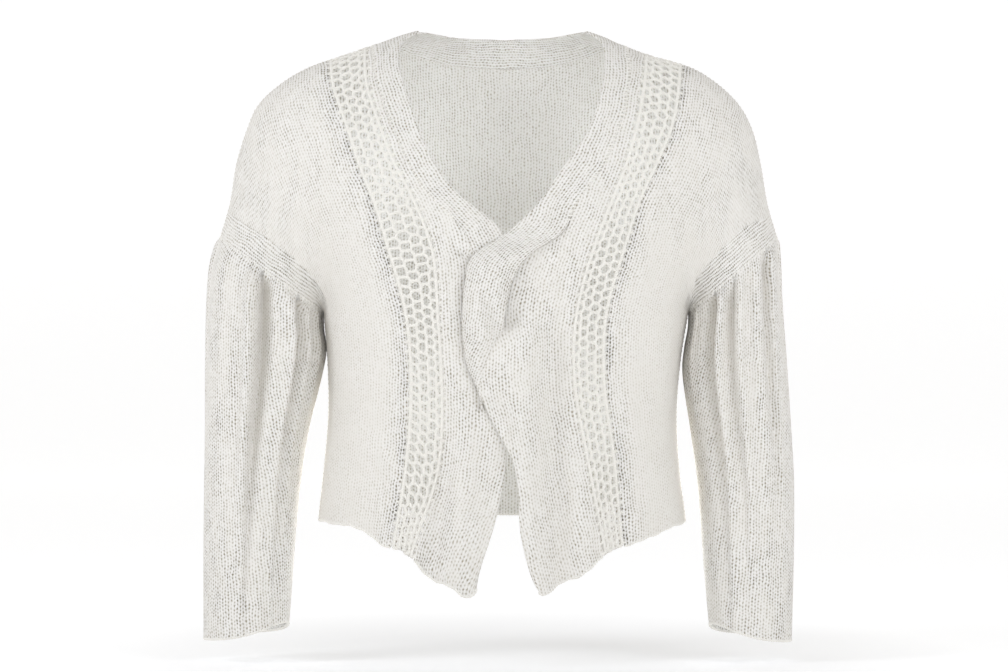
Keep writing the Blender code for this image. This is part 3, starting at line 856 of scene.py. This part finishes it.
def front(side):
    """One front: outer zone, net, inner zone, and the cast-on edge below them."""
    rise = rise_at(side, np.linspace(0, 1, FRONT_ROWS))
    gap = SLIT / share_width(side, rise)
    lace_outer, lace_inner = on_line(side, "outer", rise) - gap, on_line(side, "inner", rise) + gap
    side_edge = np.where(rise > UNDERARM_RISE, ARMHOLE_INSET, SIDE_INSET)
    width = (lace_outer - side_edge) * share_width(side, rise)
    border = (BORDER_LEGS * LEG / width)[:, None]
    hair = (HAIR / width)[:, None]
    near, far = np.linspace(0, 1, BORDER_COLUMNS), np.linspace(0, 1, OUTER_COLUMNS - BORDER_COLUMNS)
    share = np.concatenate([border * near, border + hair + (1 - border - hair) * far], axis=1)
    outer = plain_zone(side, rise, side_edge, lace_outer, share)
    inner_end = on_line(side, "front", rise) - EDGE_INSET
    inner = plain_zone(side, rise, lace_inner, inner_end, np.linspace(0, 1, INNER_COLUMNS))
    outer_stitches, inner_stitches = stitch_counts(outer, -1), stitch_counts(inner, 0)
    # Above the underarm the wales of the border follow the armhole; a hair's width parts them from the rest.
    legs = -outer_stitches[:, 0, 0]
    turned = np.where(rise > UNDERARM_RISE, legs - np.interp(UNDERARM_RISE, rise, legs), 0)
    outer_stitches[:, :BORDER_COLUMNS, 0] += turned[:, None]
    parts = [
        wall(outer, outer_stitches, front_relief(outer, outer_stitches[..., 0], rise)),
        wall(inner, inner_stitches, INNER_RELIEF),
        edge_rope(outer, 0),
        edge_rope(inner, 0),
        lace_foot(side),
        *lace(side),
    ]
    make_piece(f"front_{side_name(side)}", parts)


front(RIGHT)
front(LEFT)

# %% [markdown]
# ## The back
#
# One plain panel from side seam to side seam, hollowed for the back of the neck. The camera sees its inside
# above the crossing of the fronts and through the open strips, so its reverse side matters as much.

# %% The back
BACK_ROWS = 110
BACK_SIDE_COLUMNS = 46
BACK_NECK_COLUMNS = 26
BACK_RELIEF = 0.7
SEWING_PITCH = 4.8
SEWING_SLANT = SEWING_PITCH * 0.4
SEWING_REACH = 2.6
SEWING_RADIUS = 0.85
SEAM_GAP = 1.0


def sewing(edge, near, inside=INSIDE):
    """Short loops of yarn over a seam: from inside one edge, over the groove, into the neighbour's edge.

    Along a loop with share 0 to 1, its depth is -1 + 0.9 * sin(pi * share), so it dives in at both ends.
    """
    way = way_along(edge)
    steps = np.arange(SEWING_PITCH / 2, way[-1], SEWING_PITCH)
    edge, near = (line_at(line, way, steps) for line in (edge, near))
    over, along = unit(edge - near), unit(np.gradient(edge, axis=0))
    normals = unit(np.cross(over, along))
    normals = normals * np.sign(np.sum(normals * (edge - inside), axis=1))[:, None]
    share = np.linspace(0, 1, 7)[:, None]
    reach = (share * 2 - 1) * SEWING_REACH + SEAM_GAP / 2
    paths = edge[:, None] + over[:, None] * reach + along[:, None] * (share - 0.5) * SEWING_SLANT
    paths = paths + normals[:, None] * (0.9 * np.sin(np.pi * share) - 1)
    return tubes(paths, np.broadcast_to(normals[:, None], paths.shape), SEWING_RADIUS)


def rise_of(across, height):
    """The rise at which a column of the middle of the back comes to a height, from the sine in body."""
    shoulder = curve(SHOULDER, "height", across)
    below = (height - HEM_BACK) / (UNDERARM_HEIGHT - HEM_BACK) * UNDERARM_RISE
    lifted = np.clip((height - UNDERARM_HEIGHT) / (shoulder - UNDERARM_HEIGHT), 0, 1)
    above = UNDERARM_RISE + (1 - UNDERARM_RISE) * np.arcsin(lifted) * 2 / np.pi
    return np.where(height < UNDERARM_HEIGHT, below, above)


def back():
    """The back: columns from side seam to side seam, each up to the shoulder line or the neckband.

    Under the neck the rows keep the heights that they have at its corner, drawn together just enough to
    end along the neckband.
    """
    halves = []
    for side in (RIGHT, LEFT):
        corner = on_line(side, "band_outer", np.array([1.0]))[0] - SIDE_INSET
        side_part = np.linspace(SIDE_INSET, corner, BACK_SIDE_COLUMNS)
        neck_part = np.linspace(corner, 1, BACK_NECK_COLUMNS)[1:]
        across = np.concatenate([side_part, neck_part])
        top = height_at(side, across, "low") - NECK_INSET
        top[:BACK_SIDE_COLUMNS] = 1 - SHOULDER_INSET
        rise = top * np.linspace(0, 1, BACK_ROWS)[:, None]
        neck = slice(BACK_SIDE_COLUMNS, None)
        heights = body(side, BACK, across, rise)[..., 2] - HEM_BACK
        beside = heights[:, [BACK_SIDE_COLUMNS - 1]]
        heights = beside * heights[-1, neck] / beside[-1]
        rise[:, neck] = rise_of(across[neck], heights + HEM_BACK)
        rise[:, neck] *= top[neck] / rise[-1, neck]
        halves.append(body(side, BACK, across + 0 * rise, rise))
    points = np.concatenate([halves[0], halves[1][:, -2::-1]], axis=1)
    stitches = stitch_counts(points, points.shape[1] // 2)
    parts = [wall(points, stitches, BACK_RELIEF), edge_rope(points, 0)]
    for shoulder in (slice(0, BACK_SIDE_COLUMNS), slice(-BACK_SIDE_COLUMNS, None)):
        parts.append(sewing(points[-1, shoulder], points[-2, shoulder]))
    below = points[:, 0, 2] < UNDERARM_HEIGHT
    for at, near in ((0, 1), (-1, -2)):
        parts.append(sewing(points[below, at], points[below, near]))
    make_piece("back", parts)


back()

# %% [markdown]
# ## The neckband
#
# A long strip picked up along the neck edge, its wales running the long way. At the left it does not end:
# it crosses the other front, stands up as the strand of the twist, and runs down into the left front.

# %% The neckband
BAND_COLUMNS = 26
BAND_ROWS = 150
BAND_BACK_COLUMNS = 60
BAND_END_RISE = 0.485
STRAND_END_RISE = 0.30
BAND_INSET = 0.0035
SEWN_ROWS = 62
BAND_RELIEF = 0.9
# How high the edges and the crown of the strand stand over the body, in millimetres at each height.
STRAND = table(
    "height outer_edge inner_edge crown",
    (-352, -4, 1, 3),
    (-320, -4, 2, 10),
    (-300, -3, 2.5, 13),
    (-285, 6, 2.5, 15),
    (-250, 5, 2.5, 16),
    (-225, 5, 2.5, 13),
    (-200, 3, 3, 6),
    (-165, 0, 0, 1),
    (-120, 0, 0, 0),
    (50, 0, 0, 0),
)
# The soft valley that parts the strand in two lobes before it turns under.
LOBES = table(
    "height out depth", (-300, -8, 0), (-284, -10, 5), (-268, -15, 6), (-250, -18, 3), (-230, -20, 0)
)
LOBE_WIDTH = 5
# Below this height the strand's outer half slopes gently into the left front.
MERGE_TOP = -282
MERGE_LENGTH = 25
TUCK_UNDER = 3.5


def band_lift(side, points, share):
    """How far the band stands out: its left end crosses over, as a strand that is round across.

    Below MERGE_TOP the outer half of the strand leaves its own round and lies just under the left front.
    """
    out, height = side * points[..., 0], points[..., 2]
    if side == RIGHT:
        return np.zeros(height.shape)
    columns = ("outer_edge", "inner_edge", "crown")
    outer_edge, inner_edge, crown = (curve(STRAND, column, height) for column in columns)
    edge = outer_edge + (inner_edge - outer_edge) * share
    lobe_out, depth = (curve(LOBES, column, height) for column in ("out", "depth"))
    valley = depth * bell((out - lobe_out) / LOBE_WIDTH)
    lift = edge + (crown - edge) * np.sin(np.pi * share) ** 0.7 - valley
    over = np.clip(share * 2, 0, 1) ** 2 * (3 - 2 * np.clip(share * 2, 0, 1))
    tucked = (front_lift(side, points) - TUCK_UNDER) * (1 - over) + crown * over
    merged = np.clip((MERGE_TOP - height) / MERGE_LENGTH, 0, 1) * (share < 0.5)
    return lift + (tucked - lift) * merged


def band_front(side, end):
    """The band down one front, from the shoulder to a rise."""
    rise = rise_at(side, np.linspace(0, 1, BAND_ROWS))
    rise = rise[rise >= end]
    inner = on_line(side, "band_inner", rise)
    outer = on_line(side, "band_outer", rise) + BAND_INSET
    share = np.linspace(0, 1, BAND_COLUMNS)
    across = outer[:, None] + (inner - outer)[:, None] * share
    points = body(side, FRONT, across, rise[:, None])
    normals = body_normal(side, FRONT, across, rise[:, None])
    return points + normals * band_lift(side, points, share)[..., None]


def band_back(side):
    """The band across half of the back, from the shoulder to the middle."""
    low = np.linspace(on_line(side, "band_outer", 1.0) + BAND_INSET, 1, BAND_BACK_COLUMNS)
    high = np.linspace(on_line(side, "band_inner", 1.0), 1, BAND_BACK_COLUMNS)
    low_rise = height_at(side, low, "low") + NECK_INSET
    high_rise = height_at(side, high, "high")
    low_rise[0] = high_rise[0] = 1 - SHOULDER_INSET
    share = np.linspace(0, 1, BAND_COLUMNS)
    across = low[:, None] + (high - low)[:, None] * share
    rise = low_rise[:, None] + (high_rise - low_rise)[:, None] * share
    return body(side, BACK, across, rise)


def neckband():
    """The whole band, from the end of the strand over the left shoulder and down the right front."""
    left, right = band_front(LEFT, STRAND_END_RISE), band_front(RIGHT, BAND_END_RISE)
    points = np.concatenate([left[:-1], band_back(LEFT), band_back(RIGHT)[-2::-1], right[-2::-1]])
    sewn = slice(len(left) - SEWN_ROWS, len(points) - len(right) + SEWN_ROWS)
    parts = [wall(points, stitch_counts(points, 0), BAND_RELIEF), sewing(points[sewn, 0], points[sewn, 1])]
    make_piece("neckband", parts, slot="band")


neckband()

# %% [markdown]
# ## The sleeves
#
# Each sleeve is a tube, sewn into the armhole with its head gathered, so pleats run down from the seam and
# fade out. A simulated tube would gather by itself but differently each time; here the pleats that the
# picture shows stand in a table, each a sharp valley between round swellings.

# %% The sleeves
# The outer and inner edge of each sleeve as seen from the front, and half its depth, from head to cuff.
SLEEVES = {
    RIGHT: table(
        "along outer_out outer_height inner_out inner_height half_depth",
        (0.08, 295, -222, 181.5, -288, 61),
        (0.18, 299, -262, 179, -308, 62),
        (0.30, 301, -322, 183.5, -335, 59),
        (0.45, 302, -390, 197, -390, 54),
        (0.60, 303, -440, 205, -440, 50),
        (0.80, 304, -520, 212, -520, 46),
        (1.00, 304, -602, 217, -596, 43),
    ),
    LEFT: table(
        "along outer_out outer_height inner_out inner_height half_depth",
        (0.08, 280, -222, 187.5, -286, 60),
        (0.18, 282, -262, 184, -306, 61),
        (0.30, 287, -322, 182, -332, 57),
        (0.45, 292, -390, 190, -390, 53),
        (0.60, 295, -440, 197, -440, 49),
        (0.80, 295, -520, 203, -520, 45),
        (1.00, 293, -604, 209, -597, 42),
    ),
}

SLEEVE_ROWS = 120
SLEEVE_COLUMNS = 260
HEAD_ROWS = 30
HEAD_STAND = 2
HEAD_ROUND = 0.02
HEAD_LENGTH = 0.35
CUFF_START = 0.8
CUFF_LIFT = 12
CUFF_LIFT_TURN = 0.45
CUFF_LIFT_POWER = 5
PLEAT_COLUMNS = "turn lean depth start reach width"
# The pleats that face down and back, which the picture does not show, are shallow and alike on both.
UNSEEN_PLEATS = (
    (2.90, 0.00, 3, 0.02, 0.30, 0.14),
    (3.45, 0.00, 4, 0.02, 0.35, 0.14),
    (4.05, 0.05, 6, 0.03, 0.45, 0.14),
    (4.60, 0.08, 7, 0.04, 0.50, 0.13),
    (5.15, 0.08, 7, 0.04, 0.45, 0.12),
    (5.70, 0.08, 6, 0.04, 0.40, 0.12),
)
PLEATS = {
    RIGHT: table(
        PLEAT_COLUMNS,
        (0.30, -0.10, 4, 0.02, 0.35, 0.10),
        (0.60, -0.05, 7, 0.05, 0.45, 0.10),
        (0.96, -0.12, 19, 0.06, 0.60, 0.12),
        (1.67, -0.14, 22, 0.05, 0.62, 0.13),
        (2.25, 0.00, 1, 0.04, 0.35, 0.12),
        *UNSEEN_PLEATS,
    ),
    LEFT: table(
        PLEAT_COLUMNS,
        (0.45, -0.10, 8, 0.02, 0.40, 0.10),
        (1.07, -0.06, 18, 0.05, 0.60, 0.13),
        (1.52, -0.08, 13, 0.06, 0.60, 0.12),
        (1.90, -0.10, 3, 0.05, 0.60, 0.12),
        (2.32, -0.08, 11, 0.04, 0.50, 0.08),
        *UNSEEN_PLEATS,
    ),
}
PLEAT_STAND = 0.4
STEEP_SIDE = 0.45
GENTLE_SIDE = 1.5
SWELLING_ASIDE = 1.25
SWELLING_WIDTH = 0.7
SLEEVE_RELIEF = 1.05
VALLEY_RELIEF = 0.5


def pleats(side, along, turn):
    """Depth of the pleats, and how far each place lies in one, from 0 to 1.

    Each opens below the seam and fades down the sleeve. Its valley is a bell curve, steep towards the
    outside of the arm, where a swelling stands beside it, and gentle towards the body.
    """
    depth = np.zeros(np.broadcast(along, turn).shape)
    inside = np.zeros_like(depth)
    for middle, lean, deep, start, reach, width in zip(*PLEATS[side].values()):
        fade = np.clip((along - start * 0.3) / start, 0, 1) ** 0.7 * bell(along / reach)
        aside = (turn - middle - lean * along) / width
        valley = bell(aside / np.where(aside > 0, STEEP_SIDE, GENTLE_SIDE))
        swelling = bell((aside - SWELLING_ASIDE) / SWELLING_WIDTH)
        depth += deep * fade * (valley - PLEAT_STAND * swelling)
        inside = np.maximum(inside, fade * valley)
    return depth, inside


def sleeve_point(side, along, turn):
    """Points of a sleeve: slanted ovals from the armhole to the cuff; turn goes round over the front."""
    name = side_name(side)
    corner_out, corner_height = SHOULDER[name][0], SHOULDER["height"][0]
    under_out, under_height = curve(BODY, name, UNDERARM_HEIGHT), UNDERARM_HEIGHT
    armhole = (0, corner_out, corner_height, under_out, under_height, ARMHOLE_DEPTH)
    rows = {key: np.concatenate([[start], SLEEVES[side][key]]) for key, start in zip(SLEEVES[side], armhole)}
    read = {key: curve(rows, key, along) for key in rows if key != "along"}
    over = np.clip((1 - np.cos(turn)) / 1.2, 0, 1)
    head = np.exp(-((along / HEAD_LENGTH) ** 1.5)) * np.clip(along / HEAD_ROUND, 0, 1)
    swell = 1 + (over * head * HEAD_STAND - pleats(side, along, turn)[0]) / read["half_depth"]
    out, height = (
        (read["outer_" + way] + read["inner_" + way]) / 2
        + (read["inner_" + way] - read["outer_" + way]) / 2 * np.cos(turn) * swell
        for way in ("out", "height")
    )
    near_cuff = np.clip((along - CUFF_START) / (1 - CUFF_START), 0, 1)
    raised = ((1 + np.cos(turn - CUFF_LIFT_TURN)) / 2) ** CUFF_LIFT_POWER
    height = height + CUFF_LIFT * near_cuff**2 * raised
    forward = read["half_depth"] * np.sin(turn) * swell
    return np.stack(np.broadcast_arrays(side * out, -forward, height), axis=-1)


def sleeve(side):
    """One sleeve, with the rope of its cuff and the sewing round its armhole."""
    along = np.linspace(0, 0.997, SLEEVE_ROWS)[:, None]
    turn = np.linspace(0.01, 2 * np.pi - 0.01, SLEEVE_COLUMNS)
    points = sleeve_point(side, along, turn)
    stitches = stitch_counts(points, SLEEVE_COLUMNS // 2)
    stitches[:HEAD_ROWS, :, 0] = stitches[HEAD_ROWS, :, 0]
    stitches[..., 1] = points[..., 2] / COURSE
    relief = SLEEVE_RELIEF - (SLEEVE_RELIEF - VALLEY_RELIEF) * pleats(side, along, turn)[1]
    inside = points.mean(axis=1, keepdims=True)
    parts = [wall(points, stitches, relief, inside), edge_rope(points, -1, inside[-1])]
    parts.append(sewing(points[0], points[1], inside[0]))
    make_piece(f"sleeve_{side_name(side)}", parts)


sleeve(RIGHT)
sleeve(LEFT)

# %% [markdown]
# ## Studio
#
# The picture is a high-key cut-out: even white light from everywhere and a white ground. A bright room,
# warm as light is between pale walls and cream yarn, fills the shadows. Three large soft lights, cooler,
# shape the folds. It could be lit by the room alone, but then the pleats would lie flat.

# %% Studio
DAYLIGHT = (0.895, 0.925, 1.0)
ROOM = (0.99, 0.98, 0.965)
scene = bpy.context.scene
scene.view_settings.view_transform = "Standard"
world = bpy.data.worlds.new("white_room")
world.use_nodes = True
background = world.node_tree.nodes["Background"]
background.inputs["Color"].default_value = (*ROOM, 1)
background.inputs["Strength"].default_value = 0.64
scene.world = world

# %% Paper sweep
# A floor that turns up far behind the garment. It glows a little, so the ground stays white. The glow is
# weaker under the garment than around it: painted shade that adds to the real soft shadow there.
FLOOR_HEIGHT = -0.625
SWEEP_WIDTH = 24.0
SWEEP_FRONT, SWEEP_BEND, SWEEP_TOP = -7.0, 5.2, 8.0
BEND_RADIUS = 0.8
turn = np.linspace(0, np.pi / 2, 12)
bend = zip(SWEEP_BEND + BEND_RADIUS * np.sin(turn), BEND_RADIUS * (1 - np.cos(turn)))
profile = np.array([(SWEEP_FRONT, 0.0), *bend, (SWEEP_BEND + BEND_RADIUS, SWEEP_TOP)])
across = np.tile([-SWEEP_WIDTH / 2, SWEEP_WIDTH / 2], len(profile))
points = np.insert(np.repeat(profile, 2, axis=0), 0, across, axis=1) + [0, 0, FLOOR_HEIGHT]
index = np.arange(len(points)).reshape(-1, 2)
faces = np.stack([index[:-1, 0], index[:-1, 1], index[1:, 1], index[1:, 0]], -1)
sweep_mesh = bpy.data.meshes.new("paper_sweep")
sweep_mesh.from_pydata(points, [], faces)
sweep_mesh.polygons.foreach_set("use_smooth", np.ones(len(faces), dtype=bool))
sweep = bpy.data.objects.new("paper_sweep", sweep_mesh)
scene.collection.objects.link(sweep)
paper = bpy.data.materials.new("white_paper")
paper.use_nodes = True
paper_shader = paper.node_tree.nodes["Principled BSDF"]
paper_shader.inputs["Base Color"].default_value = (0.63, 0.63, 0.63, 1)
paper_shader.inputs["Roughness"].default_value = 1.0
paper_shader.inputs["Specular IOR Level"].default_value = 0.0
paper_shader.inputs["Emission Color"].default_value = (1, 1, 1, 1)
tree = paper.node_tree
# The glow falls off towards the garment's middle, painting part of its soft shadow on the floor.
away = vectors(tree, "MULTIPLY", add(tree, "TexCoord", out=3), (1.6, 1, 0))
away = add(tree, "VectorMath", {0: away}, out=1, operation="LENGTH")
glow = add(tree, "MapRange", {0: away, 1: 0.25, 2: 0.8, 3: 0.31, 4: 0.5})
tree.links.new(glow, paper_shader.inputs["Emission Strength"])
sweep_mesh.materials.append(paper)
print("sweep", len(faces), "faces")

# %% Lights
MIDDLE = Vector((0, 0, -0.3))
SOFTBOXES = (
    ("softbox_left", (-2.3, -1.4, 1.1), 1.0, 27),
    ("softbox_right", (1.9, -2.2, 0.6), 1.6, 24),
    ("softbox_low", (0.0, -2.2, -1.1), 1.6, 19),
)
# Small ones hang inside the garment, for the light that thin knitted cloth lets through.
GLOWS = (
    ("glow", (0.10, 0.0, -0.14), 0.05, 0.155),
    ("glow_low", (0.09, 0.0, -0.36), 0.05, 0.155),
    ("glow_sleeve", (0.255, 0.0, -0.55), 0.03, 0.06),
)


def place_light(name, kind, place, power, backwards=(0, 1, 0), **settings):
    """A light that shines away from a direction and that the camera does not see itself."""
    light = bpy.data.lights.new(name, kind)
    light.energy = power
    light.color = DAYLIGHT
    for key, value in settings.items():
        setattr(light, key, value)
    lamp = bpy.data.objects.new(name, light)
    lamp.location = place
    lamp.rotation_mode = "QUATERNION"
    lamp.rotation_quaternion = Vector(backwards).to_track_quat("Z", "Y")
    lamp.visible_camera = False
    scene.collection.objects.link(lamp)


for name, place, size, power in SOFTBOXES:
    place_light(name, "AREA", place, power, Vector(place) - MIDDLE, size=size)
for side in (RIGHT, LEFT):
    for name, (out, *rest), size, power in GLOWS:
        place = (side * out, *rest)
        place_light(f"{name}_{side_name(side)}", "POINT", place, power, shadow_soft_size=size)
    # A narrow strip of light stands in the gap between the body and each sleeve, as pale cloth would glow.
    strip = {"color": ROOM, "shape": "RECTANGLE", "size": 0.008, "size_y": 0.22}
    place_light(f"gap_{side_name(side)}", "AREA", (side * 0.188, 0.02, -0.44), 0.05, **strip)
print("lights", [light.name for light in bpy.data.lights])

# %% Camera
# Far away with a long lens, level with the middle of the garment. One pixel is 1.015 mm at the body.
IMAGE_WIDTH = 1008
PIXEL = 0.001015
DISTANCE = 4.0
SENSOR = 36
camera_data = bpy.data.cameras.new("camera")
camera_data.sensor_width = SENSOR
camera_data.lens = SENSOR * DISTANCE / (IMAGE_WIDTH * PIXEL)
camera = bpy.data.objects.new("camera", camera_data)
camera.location = (0.001, -DISTANCE, -0.295)
camera.rotation_euler = (np.pi / 2, 0, 0)
scene.collection.objects.link(camera)
scene.camera = camera
print("lens", round(camera_data.lens, 1), "mm")
